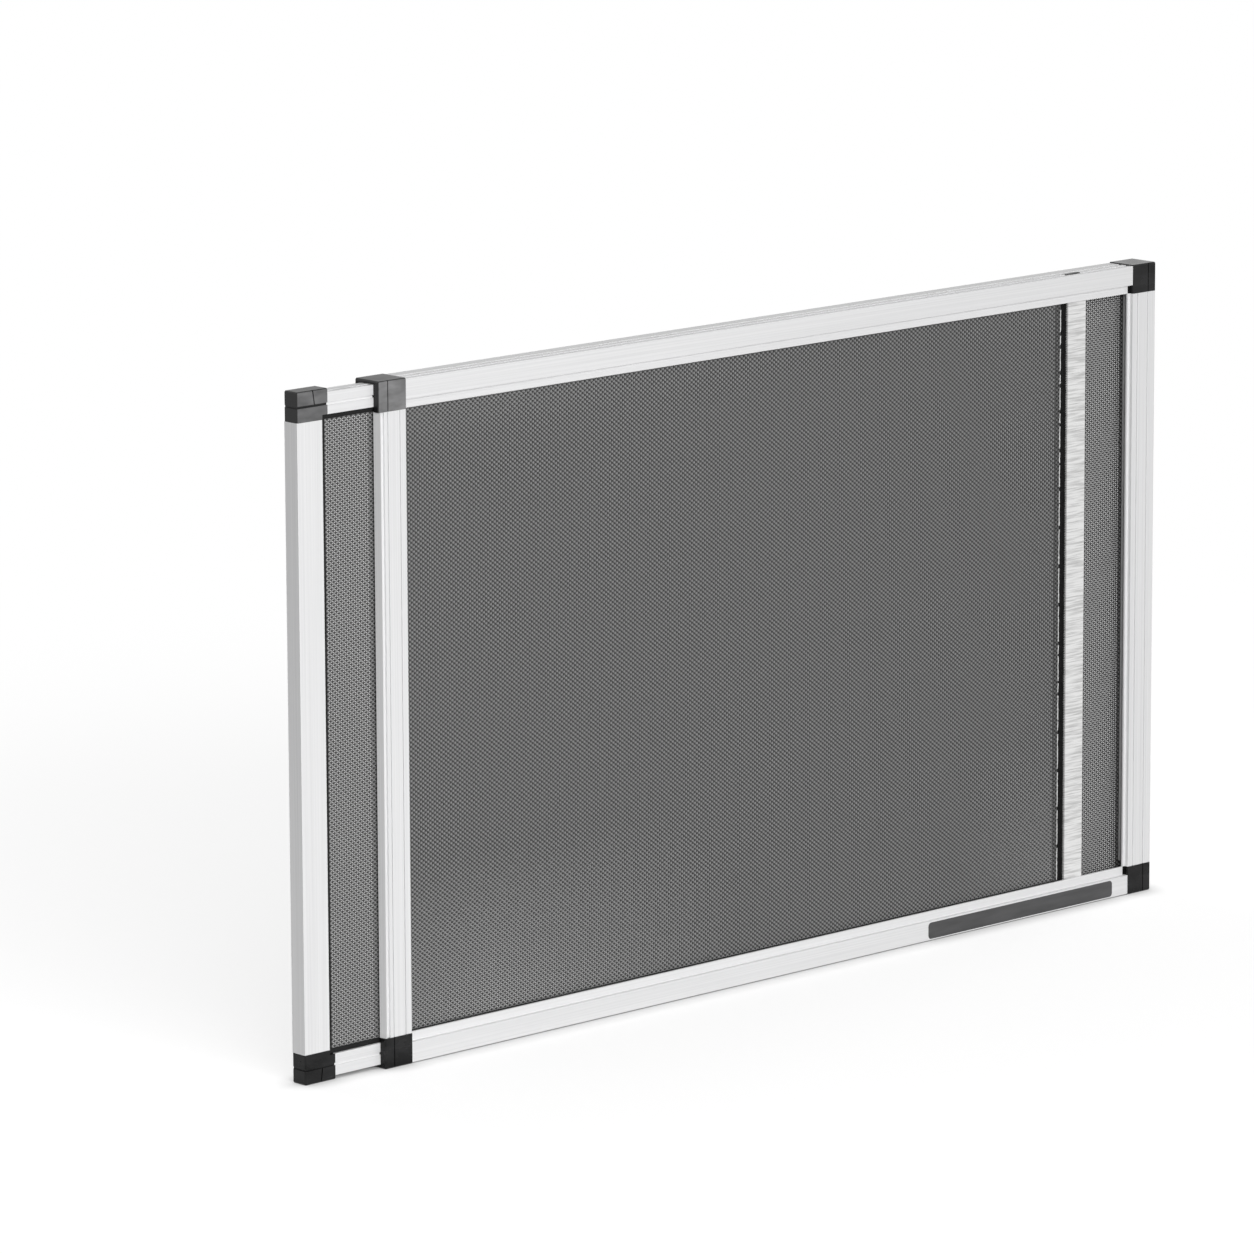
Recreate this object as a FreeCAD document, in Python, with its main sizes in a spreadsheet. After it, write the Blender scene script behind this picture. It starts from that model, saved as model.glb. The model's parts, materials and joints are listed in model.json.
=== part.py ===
import FreeCAD, Part
import Sketcher
import os

# Adjustable window screen: an inner frame slides in the channels of an outer frame.
# X is the width, Y the depth from front to back, Z up. All lengths are millimetres.
# The origin is the middle of the floor under the screen as it stands in the photograph.

DOCUMENT = FreeCAD.newDocument("window_screen")
SHEET = DOCUMENT.addObject("Spreadsheet::Sheet", "Sizes")


class Size:
    """A length with its number and the sheet formula that gives it."""

    def __init__(self, number, formula):
        self.number = number
        self.formula = formula

    @staticmethod
    def of(value):
        return value if isinstance(value, Size) else Size(float(value), str(value))

    def __add__(self, other):
        other = Size.of(other)
        return Size(self.number + other.number, f"({self.formula} + {other.formula})")

    def __sub__(self, other):
        other = Size.of(other)
        return Size(self.number - other.number, f"({self.formula} - {other.formula})")

    def __mul__(self, factor):
        return Size(self.number * factor, f"({self.formula} * {factor})")

    def __truediv__(self, factor):
        return Size(self.number / factor, f"({self.formula} / {factor})")

    def __neg__(self):
        return Size(-self.number, f"(-1 * {self.formula})")


ZERO = Size.of(0)
ROWS = []
TOUCHING = 1e-6
ACROSS, DEEP, UP = "x", "y", "z"


def size(alias, number, note):
    """Write one driving dimension into the sheet and return it."""
    ROWS.append(alias)
    row = len(ROWS)
    SHEET.set(f"A{row}", note)
    SHEET.set(f"B{row}", str(number))
    SHEET.setAlias(f"B{row}", alias)
    return Size(float(number), f"Sizes.{alias}")


# Overall sizes
frame_height = size("frame_height", 381, "height over the corners")
frame_depth = size("frame_depth", 19.4, "depth of the outer frame")
outer_width = size("outer_width", 613.5, "width of the outer frame over its corners")
end_room = size("end_room", 22.7, "closing bar from the outer end with the screen shut")
rest_gap = size("rest_gap", 32.7, "opening between the two left corners as it stands")

# Extrusions of the outer frame
wall = size("wall", 1.2, "wall of the outer extrusions")
cap_proud = size("cap_proud", 0.6, "corners proud of the rails, top and bottom")
face_inset = size("face_inset", 0.25, "rails behind the corners, front and back")
side_inset = size("side_inset", 0.4, "stiles behind the corners at the ends")
rail_face = size("rail_face", 11.4, "front face of an outer rail")
rail_lip = size("rail_lip", 5.1, "recessed lip of an outer rail")
lip_recess = size("lip_recess", 2.6, "lips behind the front face")
stile_face = size("stile_face", 19.3, "front face of an outer stile")
stile_lip = size("stile_lip", 1.7, "recessed lip of an outer stile")
stile_depth = size("stile_depth", 5.0, "depth of the front bar of an outer stile")
nose_lean = size("nose_lean", 1.0, "front edge of the guide stile behind its outer edge")
nose_rim = size("nose_rim", 0.3, "rim between that edge and the channel in the face")
nose_channel = size("nose_channel", 2.4, "width of that channel")
nose_sink = size("nose_sink", 1.4, "depth of that channel")
line_groove = size("line_groove", 0.6, "width of the drawn lines in stiles and corners")
inner_band = size("inner_band", 4.0, "land inside the second line of a stile face")
rear_face = size("rear_face", 7.0, "rear face of an outer extrusion")
rear_lip = size("rear_lip", 3.3, "lip that carries the outer mesh")
rebate_depth = size("rebate_depth", 2.8, "rear rebate for the outer mesh and its spline")
top_groove = size("top_groove", 2.6, "width of the two grooves along a rail's edge")
top_land = size("top_land", 3.0, "land before and between those grooves")
slot_length = size("slot_length", 13, "slot in the edge of an outer rail")
slot_from_end = size("slot_from_end", 39.5, "slot from the end of the rail")

# Moulded corners of the outer frame
tongue_length = size("tongue_length", 14, "tongues of the corners in rails and stiles")
seat_gap = size("seat_gap", 0.12, "room round a tongue or a seated strip")
corner_line = size("corner_line", 6.4, "first drawn line from the outer side of a corner")
line_depth = size("line_depth", 0.8, "depth of the drawn lines")
corner_bevel = size("corner_bevel", 0.7, "bevel on the outer edges of every moulded corner")

# Inner frame
slide_gap = size("slide_gap", 0.35, "running clearance between the two frames")
inner_rail_height = size("inner_rail_height", 12.1, "face of an inner rail")
inner_wall = size("inner_wall", 1.1, "wall of the inner extrusions")
rail_groove = size("rail_groove", 1.6, "groove along the face of an inner rail")
groove_depth = size("groove_depth", 0.9, "depth of that groove")
groove_from_top = size("groove_from_top", 5.5, "groove from the outer edge of its rail")
inner_stile = size("inner_stile", 17.8, "face of the inner end stile")
inner_arm = size("inner_arm", 21.5, "length of an inner corner")
inner_corner_height = size("inner_corner_height", 16.8, "height of an inner corner")
inner_heel = size("inner_heel", 2.6, "narrow foot of an inner corner")
corner_groove = size("corner_groove", 1.3, "groove round an inner corner")
inner_slot_from_end = size("inner_slot_from_end", 8.0, "slot of an inner rail from its corner")
slit_width = size("slit_width", 0.7, "slit over the groove of an inner corner")
slit_lean = size("slit_lean", 1.2, "slit's foot from its head")
flange = size("flange", 2.7, "flange that carries the inner mesh")
flange_wall = size("flange_wall", 1.0, "thickness of that flange")
spline_sink = size("spline_sink", 1.0, "inner spline behind the inner face")
spline_thick = size("spline_thick", 1.6, "thickness of the inner spline")
bar_width = size("bar_width", 14.9, "face of the closing bar")
bar_sink = size("bar_sink", 0.2, "closing bar behind the inner face")
seal_width = size("seal_width", 4.2, "pile seal beside the closing bar")
seal_thick = size("seal_thick", 1.9, "thickness of the pile seal")
rib_height = size("rib_height", 1.0, "guide rib in the groove of an inner rail")

# Mesh cloth and its spline
mesh_wall = size("mesh_wall", 0.24, "hem of the mesh cloth")
thread_rise = size("thread_rise", 0.13, "threads above the hem on each face")
mesh_band = size("mesh_band", 18, "width of one band of threads")
mesh_pitch = size("mesh_pitch", 44, "least pitch of those bands")
outer_spline_width = size("outer_spline_width", 3.0, "spline round the outer mesh")

# Planes that several pieces share
half_depth = frame_depth / 2
rest_width = outer_width + rest_gap + inner_arm
inner_length = inner_arm + outer_width - end_room
inner_left = -rest_width / 2
outer_left = inner_left + inner_arm + rest_gap
outer_right = rest_width / 2
front = face_inset
back = frame_depth - face_inset
lip_front = front + lip_recess
lip_back = lip_front + wall
rebate = back - rebate_depth
rear_lip_front = rebate - wall
corner_width = stile_face + side_inset
corner_height = cap_proud + rail_face + rail_lip
corner_end = side_inset + rear_face
edge_wall = cap_proud + wall
mesh_thick = mesh_wall + thread_rise * 2
inner_top = edge_wall + slide_gap
inner_set_back = lip_back + slide_gap
inner_back = rear_lip_front - slide_gap
inner_edge = inner_top + inner_rail_height
cloth_front = inner_set_back + spline_sink + spline_thick
flange_front = cloth_front + mesh_thick
flange_back = flange_front + flange_wall
bar_left = inner_left + inner_length - bar_width
rear_left = outer_left + corner_width - rear_face - rear_lip - seat_gap
outer_cloth_edge = rear_face + seat_gap
outer_cloth_left = rear_left + outer_cloth_edge
outer_cloth_width = outer_right - side_inset - outer_cloth_edge - outer_cloth_left
outer_cloth_low = cap_proud + outer_cloth_edge
outer_cloth_height = frame_height - outer_cloth_low * 2


def new_body(name):
    """Start one piece and give it the name of its file."""
    body = DOCUMENT.addObject("PartDesign::Body", name)
    body.Label = name
    return body


def place(body, x, y, z):
    """Bind the place of a piece to the sheet."""
    for axis, value in zip("xyz", (x, y, z)):
        body.setExpression(f"Placement.Base.{axis}", value.formula)


def sketch(body, role, outlines, offset=ZERO):
    """Draw closed outlines on an origin plane of the body, every corner bound to the sheet."""
    drawing = body.newObject("Sketcher::SketchObject", f"{body.Label}_sketch")
    plane = [item for item in body.Origin.OriginFeatures if item.Role == role]
    drawing.AttachmentSupport = (plane[0], [""])
    drawing.MapMode = "FlatFace"
    drawing.setExpression("AttachmentOffset.Base.z", offset.formula)
    for outline in outlines:
        draw_outline(drawing, outline)
    return drawing


def draw_outline(drawing, outline):
    """Join the corners of one outline with lines and fix each corner."""
    corners = [(Size.of(across), Size.of(along)) for across, along in outline]
    spots = [FreeCAD.Vector(across.number, along.number, 0) for across, along in corners]
    first = drawing.GeometryCount
    count = len(spots)
    for index in range(count):
        drawing.addGeometry(Part.LineSegment(spots[index], spots[(index + 1) % count]))
    for index in range(count):
        after = first + (index + 1) % count
        drawing.addConstraint(Sketcher.Constraint("Coincident", first + index, 2, after, 1))
    for index, corner in enumerate(corners):
        for kind, distance in zip(("DistanceX", "DistanceY"), corner):
            rule = Sketcher.Constraint(kind, -1, 1, first + index, 1, distance.number)
            row = drawing.addConstraint(rule)
            drawing.setExpression(f"Constraints[{row}]", distance.formula)


def extrude(body, kind, drawing, length, reverse=False):
    """Pad or pocket a drawing by a length of the sheet."""
    feature = body.newObject(f"PartDesign::{kind}", f"{body.Label}_{kind.lower()}")
    feature.Profile = drawing
    feature.setExpression("Length", length.formula)
    feature.Reversed = reverse
    return feature


def bevel_edges(body, base, planes):
    """Bevel every edge of a moulding in which two of its outer planes meet."""
    DOCUMENT.recompute()
    names = []
    for number, edge in enumerate(base.Shape.Edges, 1):
        ends = [vertex.Point for vertex in edge.Vertexes]
        holding = [
            axis for axis, level in planes
            if all(abs(getattr(end, axis) - level.number) < TOUCHING for end in ends)
        ]
        if len(holding) > 1:
            names.append(f"Edge{number}")
    feature = body.newObject("PartDesign::Chamfer", f"{body.Label}_chamfer")
    feature.Base = (base, names)
    feature.setExpression("Size", corner_bevel.formula)


def box_outline(low_across, low_along, high_across, high_along):
    """The four corners of a rectangle."""
    return [
        (low_across, low_along), (high_across, low_along),
        (high_across, high_along), (low_across, high_along),
    ]


def mirror_below(upper, name):
    """The lower twin of a piece, mirrored at half the frame's height."""
    twin = DOCUMENT.addObject("Part::Mirroring", name)
    twin.Label = name
    twin.Source = upper
    twin.Normal = FreeCAD.Vector(0, 0, 1)
    twin.setExpression("Base.z", (frame_height / 2).formula)
    return twin


def outer_rail():
    """Channel with a stepped front, two grooves along its edge and a rear rebate."""
    body = new_body("outer_top_rail")
    length = outer_width - corner_width * 2
    groove_floor = -wall / 2
    grooves = []
    for start in (front + top_land, front + top_land * 2 + top_groove):
        grooves += [
            (start, ZERO), (start, groove_floor),
            (start + top_groove, groove_floor), (start + top_groove, ZERO),
        ]
    channel = [(front, ZERO)] + grooves + [
        (back, ZERO), (back, -rear_face), (rebate, -rear_face),
        (rebate, -(rear_face + rear_lip)), (rear_lip_front, -(rear_face + rear_lip)),
        (rear_lip_front, wall - rear_face), (back - wall, wall - rear_face),
        (back - wall, -wall), (front + wall, -wall), (front + wall, wall - rail_face),
        (lip_back, wall - rail_face), (lip_back, -rail_face), (front, -rail_face),
    ]
    extrude(body, "Pad", sketch(body, "YZ_Plane", [channel]), length)
    lip = box_outline(lip_front, -(rail_face + rail_lip), lip_back, -rail_face)
    lip_drawing = sketch(body, "YZ_Plane", [lip], stile_lip)
    extrude(body, "Pad", lip_drawing, length - stile_lip * 2)
    slot_front = front + top_land + top_groove
    slot = box_outline(
        length - slot_from_end - slot_length, slot_front,
        length - slot_from_end, slot_front + top_land,
    )
    extrude(body, "Pocket", sketch(body, "XY_Plane", [slot]), wall)
    place(body, outer_left + corner_width, -half_depth, frame_height - cap_proud)
    return body


def stile_front(side, edge):
    """Front bar of an outer stile from its outer edge to its lip; side is its way inwards."""
    steps = list(edge)
    for start in (corner_line - side_inset, stile_face - inner_band - line_groove):
        steps += [
            (start, front), (start, front + line_depth),
            (start + line_groove, front + line_depth), (start + line_groove, front),
        ]
    steps += [
        (stile_face, front), (stile_face, lip_front), (stile_face + stile_lip, lip_front),
        (stile_face + stile_lip, lip_back), (stile_face, lip_back),
        (stile_face, stile_depth), (stile_face - wall, stile_depth),
        (stile_face - wall, lip_front - wall / 2), (wall, lip_front - wall / 2),
    ]
    return [(across * side, depth) for across, depth in steps]


def rear_hook(side):
    """Rear wall and mesh lip that every outer stile and rail shares, seen along a stile."""
    steps = [
        (wall, back - wall), (rear_face - wall, back - wall), (rear_face - wall, rear_lip_front),
        (rear_face + rear_lip, rear_lip_front), (rear_face + rear_lip, rebate),
        (rear_face, rebate), (rear_face, back), (ZERO, back),
    ]
    return [(across * side, depth) for across, depth in steps]


def outer_end_stile():
    """Closed end of the outer frame: front bar, outer wall and rear hook in one extrusion."""
    body = new_body("outer_end_stile")
    outline = stile_front(-1, [(ZERO, front)]) + rear_hook(-1)
    length = frame_height - corner_height * 2
    extrude(body, "Pad", sketch(body, "XY_Plane", [outline]), length)
    place(body, outer_right - side_inset, -half_depth, corner_height)
    return body


def guide_stile():
    """Front bar at the open end of the outer frame; the inner frame passes behind it."""
    body = new_body("guide_stile")
    near = nose_lean + nose_rim
    far = near + nose_channel
    floor = front + nose_sink
    nose = [(nose_lean, front), (near, front), (near, floor), (far, floor), (far, front)]
    outline = stile_front(1, nose) + [(wall, stile_depth), (ZERO, stile_depth)]
    length = frame_height - corner_height * 2
    extrude(body, "Pad", sketch(body, "XY_Plane", [outline]), length)
    place(body, outer_left + side_inset, -half_depth, corner_height)
    return body


def rear_stile():
    """Rear bar at the open end, which holds the left edge of the outer mesh."""
    body = new_body("rear_stile")
    outline = [(ZERO, rear_lip_front), (wall, rear_lip_front)] + rear_hook(1)
    start = cap_proud + rear_face
    extrude(body, "Pad", sketch(body, "XY_Plane", [outline]), frame_height - start * 2)
    place(body, rear_left, -half_depth, start)
    return body


def corner_channel(bottom):
    """Section of the channel that a corner carries on, from its inner side up to its top wall."""
    roof = corner_height - edge_wall
    waist = corner_height - (cap_proud + rear_face - wall)
    return [
        (lip_back, bottom), (lip_back, roof), (back - wall, roof),
        (back - wall, waist), (rear_lip_front, waist), (rear_lip_front, bottom),
    ]


def corner_tongues(body, side):
    """Tongues in the rail and the stile, and the small tab between the two lips."""
    roof = corner_height - edge_wall - seat_gap
    shelf = rail_lip + wall + seat_gap
    in_rail = box_outline(front + wall + seat_gap, shelf, lip_back, roof)
    forward = side < 0
    extrude(body, "Pad", sketch(body, "YZ_Plane", [in_rail]), tongue_length, forward)
    tab = box_outline(lip_front, ZERO, lip_back, rail_lip - seat_gap)
    extrude(body, "Pad", sketch(body, "YZ_Plane", [tab]), stile_lip - seat_gap, forward)
    near = side_inset + wall + seat_gap - corner_width
    far = -wall - seat_gap
    in_stile = box_outline(near * side, lip_front - wall / 2 + seat_gap, far * side, lip_back)
    extrude(body, "Pad", sketch(body, "XY_Plane", [in_stile]), tongue_length, True)


def corner_drawn_line(body, side):
    """Line down the front of a corner, near its outer side."""
    start = corner_line - corner_width
    line = box_outline(start * side, ZERO, (start + line_groove) * side, corner_height)
    extrude(body, "Pocket", sketch(body, "XZ_Plane", [line]), line_depth)


def outer_corner():
    """Moulded corner at the closed end, solid at its end and hollow towards the rail."""
    body = new_body("outer_corner_top")
    block = box_outline(ZERO, ZERO, frame_depth, corner_height)
    solid = extrude(body, "Pad", sketch(body, "YZ_Plane", [block]), corner_width)
    planes = [(ACROSS, corner_width), (DEEP, ZERO), (DEEP, frame_depth), (UP, corner_height)]
    bevel_edges(body, solid, planes)
    rear_edge = corner_height - cap_proud - rear_face
    hollow = corner_channel(ZERO)
    hollow = hollow[:-2] + [(back - wall, rear_edge), (frame_depth, rear_edge), (frame_depth, ZERO)]
    extrude(body, "Pocket", sketch(body, "YZ_Plane", [hollow]), corner_width - corner_end, True)
    corner_tongues(body, -1)
    corner_drawn_line(body, -1)
    place(body, outer_right - corner_width, -half_depth, frame_height - corner_height)
    return body


def guide_corner():
    """Moulded corner at the open end; the inner rail runs through it on a guide rib."""
    body = new_body("guide_corner_top")
    roof = corner_height - edge_wall
    rear_edge = corner_height - cap_proud - rear_face
    groove_middle = corner_height - inner_top - groove_from_top - rail_groove / 2
    rib_back = inner_set_back + groove_depth - slide_gap
    section = [
        (ZERO, ZERO), (lip_back, ZERO), (lip_back, groove_middle - rib_height / 2),
        (rib_back, groove_middle - rib_height / 2), (rib_back, groove_middle + rib_height / 2),
        (lip_back, groove_middle + rib_height / 2), (lip_back, roof),
        (back - wall, roof), (back - wall, rear_edge), (frame_depth, rear_edge),
        (frame_depth, corner_height), (ZERO, corner_height),
    ]
    solid = extrude(body, "Pad", sketch(body, "YZ_Plane", [section]), corner_width, True)
    planes = [(ACROSS, -corner_width), (DEEP, ZERO), (DEEP, frame_depth), (UP, corner_height)]
    bevel_edges(body, solid, planes)
    corner_tongues(body, 1)
    corner_drawn_line(body, 1)
    place(body, outer_left + corner_width, -half_depth, frame_height - corner_height)
    return body


def mesh_cloth(name, width, height, margin):
    """Woven cloth: a hem with upright bands of threads in front and level bands behind."""
    body = new_body(name)
    edge = box_outline(ZERO, ZERO, width, height)
    window = box_outline(margin, margin, width - margin, height - margin)
    extrude(body, "Pad", sketch(body, "XZ_Plane", [edge, window]), mesh_wall, True)
    band_thick = mesh_wall + thread_rise
    upright = box_outline(margin, margin, margin + mesh_band, height - margin)
    drawing = sketch(body, "XZ_Plane", [upright], thread_rise)
    warp = extrude(body, "Pad", drawing, band_thick, True)
    repeat(body, warp, "X_Axis", width - margin * 2 - mesh_band)
    level = box_outline(margin, margin, width - margin, margin + mesh_band)
    weft = extrude(body, "Pad", sketch(body, "XZ_Plane", [level]), band_thick, True)
    repeat(body, weft, "Z_Axis", height - margin * 2 - mesh_band)
    return body


def repeat(body, feature, role, reach):
    """Repeat one band over a reach at the least pitch that fits."""
    axis = [item for item in body.Origin.OriginFeatures if item.Role == role]
    pattern = body.newObject("PartDesign::LinearPattern", f"{body.Label}_pattern")
    pattern.Originals = [feature]
    pattern.Direction = (axis[0], [""])
    pattern.setExpression("Length", reach.formula)
    pattern.setExpression("Occurrences", f"floor({reach.formula} / {mesh_pitch.formula}) + 1")
    body.Tip = pattern


def outer_mesh():
    """Cloth of the outer frame, laid in the rear rebate."""
    margin = outer_spline_width + seat_gap
    body = mesh_cloth("outer_mesh", outer_cloth_width, outer_cloth_height, margin)
    place(body, outer_cloth_left, rebate + thread_rise - half_depth, outer_cloth_low)
    return body


def outer_spline():
    """Soft spline pressed round the edge of the outer mesh from behind."""
    body = new_body("outer_spline")
    ring = box_outline(ZERO, ZERO, outer_cloth_width, outer_cloth_height)
    hole = box_outline(
        outer_spline_width, outer_spline_width,
        outer_cloth_width - outer_spline_width, outer_cloth_height - outer_spline_width,
    )
    cloth_back = rebate + thread_rise + mesh_wall
    drawing = sketch(body, "XZ_Plane", [ring, hole], -cloth_back)
    extrude(body, "Pad", drawing, back - cloth_back, True)
    place(body, outer_cloth_left, -half_depth, outer_cloth_low)
    return body


def inner_rail():
    """Hollow rail with a grooved face, a slot in its edge and a flange for the inner mesh."""
    body = new_body("inner_top_rail")
    groove_top = -groove_from_top
    groove_low = groove_top - rail_groove
    groove_back = inner_set_back + groove_depth
    edge_near = groove_back + inner_wall
    edge_far = edge_near + top_groove
    shell = [
        (inner_set_back, ZERO), (edge_near, ZERO), (edge_near, -inner_wall / 2),
        (edge_far, -inner_wall / 2), (edge_far, ZERO),
        (inner_back, ZERO), (inner_back, -inner_rail_height), (flange_back, -inner_rail_height),
        (flange_back, -(inner_rail_height + flange)), (flange_front, -(inner_rail_height + flange)),
        (flange_front, -inner_rail_height), (inner_set_back, -inner_rail_height),
        (inner_set_back, groove_low), (groove_back, groove_low), (groove_back, groove_top),
        (inner_set_back, groove_top),
    ]
    drawing = sketch(body, "YZ_Plane", [shell, inner_rail_hollow(ZERO)])
    extrude(body, "Pad", drawing, inner_length - inner_arm - bar_width)
    slot = box_outline(
        inner_slot_from_end, edge_near, inner_slot_from_end + slot_length, edge_far,
    )
    extrude(body, "Pocket", sketch(body, "XY_Plane", [slot]), inner_wall)
    place(body, inner_left + inner_arm, -half_depth, frame_height - inner_top)
    return body


def inner_rail_hollow(room):
    """Hollow of an inner rail, made smaller all round by the room that a tongue needs."""
    return box_outline(
        inner_set_back + groove_depth + inner_wall + room, inner_wall - inner_rail_height + room,
        inner_back - inner_wall - room, -inner_wall - room,
    )


def inner_end_stile():
    """Hollow stile at the free end, with a mesh flange."""
    body = new_body("inner_end_stile")
    shell = [
        (ZERO, inner_set_back), (inner_stile, inner_set_back), (inner_stile, flange_front),
        (inner_stile + flange, flange_front), (inner_stile + flange, flange_back),
        (inner_stile, flange_back), (inner_stile, inner_back), (ZERO, inner_back),
    ]
    hollow = inner_stile_hollow(ZERO, ZERO)
    length = frame_height - inner_corner_height * 2
    extrude(body, "Pad", sketch(body, "XY_Plane", [shell, hollow]), length)
    place(body, inner_left, -half_depth, inner_corner_height)
    return body


def inner_stile_hollow(room, shift):
    """Hollow of the inner stile, less the room that a tongue needs."""
    return box_outline(
        shift + inner_wall + room, inner_set_back + inner_wall + room,
        shift + inner_stile - inner_wall - room, inner_back - inner_wall - room,
    )


def inner_corner():
    """Moulded corner of the inner frame: an arm over the rail's end and a foot on the stile."""
    body = new_body("inner_corner_top")
    face = inner_set_back - face_inset
    tail = inner_back + face_inset
    outline = [
        (-inner_arm, ZERO), (inner_stile - inner_arm, ZERO), (inner_stile - inner_arm, inner_heel),
        (ZERO, inner_heel), (ZERO, inner_corner_height), (-inner_arm, inner_corner_height),
    ]
    solid = extrude(body, "Pad", sketch(body, "XZ_Plane", [outline], -face), tail - face, True)
    planes = [(ACROSS, -inner_arm), (DEEP, face), (DEEP, tail), (UP, inner_corner_height)]
    bevel_edges(body, solid, planes)
    rail_level = inner_corner_height - inner_top
    tongue = [(depth, rail_level + level) for depth, level in inner_rail_hollow(seat_gap)]
    extrude(body, "Pad", sketch(body, "YZ_Plane", [tongue]), tongue_length)
    in_stile = inner_stile_hollow(seat_gap, -inner_arm)
    extrude(body, "Pad", sketch(body, "XY_Plane", [in_stile]), tongue_length, True)
    groove_low = rail_level - groove_from_top - rail_groove / 2 - corner_groove / 2
    band = [
        (ZERO, face), (ZERO, face + groove_depth), (groove_depth - inner_arm, face + groove_depth),
        (groove_depth - inner_arm, tail), (-inner_arm, tail), (-inner_arm, face),
    ]
    extrude(body, "Pocket", sketch(body, "XY_Plane", [band], groove_low), corner_groove, True)
    head = -inner_arm / 2
    slit_low = groove_low + corner_groove
    slit = [
        (head + slit_lean, slit_low), (head + slit_lean + slit_width, slit_low),
        (head + slit_width, inner_corner_height), (head, inner_corner_height),
    ]
    extrude(body, "Pocket", sketch(body, "XZ_Plane", [slit], -face), groove_depth)
    place(body, inner_left + inner_arm, -half_depth, frame_height - inner_corner_height)
    return body


def closing_plug():
    """Moulded plug that joins an inner rail to the closing bar, out of sight in the channel."""
    body = new_body("closing_plug_top")
    section = box_outline(inner_set_back, -inner_rail_height, inner_back, ZERO)
    extrude(body, "Pad", sketch(body, "YZ_Plane", [section]), bar_width)
    in_rail = inner_rail_hollow(seat_gap)
    extrude(body, "Pad", sketch(body, "YZ_Plane", [in_rail]), tongue_length, True)
    in_bar = bar_hollow(seat_gap)
    drawing = sketch(body, "XY_Plane", [in_bar], -inner_rail_height)
    extrude(body, "Pad", drawing, tongue_length, True)
    place(body, bar_left, -half_depth, frame_height - inner_top)
    return body


def bar_hollow(room):
    """Hollow of the closing bar, less the room that a tongue needs."""
    return box_outline(
        inner_wall + room, inner_set_back + bar_sink + inner_wall + room,
        bar_width - inner_wall - room, inner_back - inner_wall - room,
    )


def closing_bar():
    """Pale bar at the hidden end of the inner frame, with a flange for the mesh and its seal."""
    body = new_body("closing_bar")
    shell = box_outline(ZERO, inner_set_back + bar_sink, bar_width, inner_back)
    length = frame_height - inner_edge * 2
    extrude(body, "Pad", sketch(body, "XY_Plane", [shell, bar_hollow(ZERO)]), length)
    edge = flange + seat_gap
    lip = box_outline(-seal_width, flange_front, ZERO, flange_back)
    extrude(body, "Pad", sketch(body, "XY_Plane", [lip], edge), length - edge * 2)
    place(body, bar_left, -half_depth, inner_edge)
    return body


def closing_pile_seal():
    """Dark pile strip beside the closing bar; it holds the cloth on the bar's flange."""
    body = new_body("closing_pile_seal")
    strip = box_outline(-seal_width, cloth_front - seal_thick, -seat_gap, cloth_front)
    length = frame_height - (inner_edge + seat_gap) * 2
    extrude(body, "Pad", sketch(body, "XY_Plane", [strip]), length)
    place(body, bar_left, -half_depth, inner_edge + seat_gap)
    return body


def inner_mesh():
    """Cloth of the inner frame, laid on the flanges of its rails, stile and bar."""
    width = bar_left - inner_left - inner_stile - seat_gap * 2
    height = frame_height - (inner_edge + seat_gap) * 2
    margin = seal_width + seat_gap
    body = mesh_cloth("inner_mesh", width, height, margin)
    spot = cloth_front + thread_rise - half_depth
    place(body, inner_left + inner_stile + seat_gap, spot, inner_edge + seat_gap)
    return body


def inner_spline():
    """Soft spline along both inner rails and the end stile, which holds the cloth in front."""
    body = new_body("inner_spline")
    width = bar_left - seal_width - seat_gap - inner_left - inner_stile - seat_gap
    height = frame_height - (inner_edge + seat_gap) * 2
    band = flange - seat_gap
    outline = [
        (ZERO, ZERO), (width, ZERO), (width, band), (band, band),
        (band, height - band), (width, height - band), (width, height), (ZERO, height),
    ]
    spline_front = inner_set_back + spline_sink
    drawing = sketch(body, "XZ_Plane", [outline], -spline_front)
    extrude(body, "Pad", drawing, spline_thick + thread_rise, True)
    place(body, inner_left + inner_stile + seat_gap, -half_depth, inner_edge + seat_gap)
    return body


def check(pieces):
    """Stop before anything is written if a feature failed or a cut took nothing away."""
    for item in DOCUMENT.Objects:
        if "Invalid" in item.State or "Error" in item.State:
            raise RuntimeError(f"{item.Name} failed: {item.State}")
        if item.TypeId == "PartDesign::Pocket":
            if item.BaseFeature.Shape.Volume - item.Shape.Volume < 1e-3:
                raise RuntimeError(f"{item.Name} cuts nothing")
    for piece in pieces:
        shape = piece.Shape
        if shape.isNull() or not shape.isValid() or len(shape.Solids) != 1:
            raise RuntimeError(f"{piece.Label} is not one sound solid")


def main():
    """Build every piece, check it and write its file."""
    DOCUMENT.recompute()
    upper = {
        "outer_bottom_rail": outer_rail(),
        "outer_corner_bottom": outer_corner(),
        "guide_corner_bottom": guide_corner(),
        "inner_bottom_rail": inner_rail(),
        "inner_corner_bottom": inner_corner(),
        "closing_plug_bottom": closing_plug(),
    }
    single = [
        outer_end_stile(), guide_stile(), rear_stile(), outer_mesh(), outer_spline(),
        inner_end_stile(), inner_mesh(), inner_spline(), closing_bar(), closing_pile_seal(),
    ]
    lower = [mirror_below(piece, name) for name, piece in upper.items()]
    DOCUMENT.recompute()
    pieces = list(upper.values()) + single + lower
    check(pieces)
    os.makedirs("parts", exist_ok=True)
    for piece in pieces:
        piece.Shape.exportStep(f"parts/{piece.Label}.step")


main()
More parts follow.
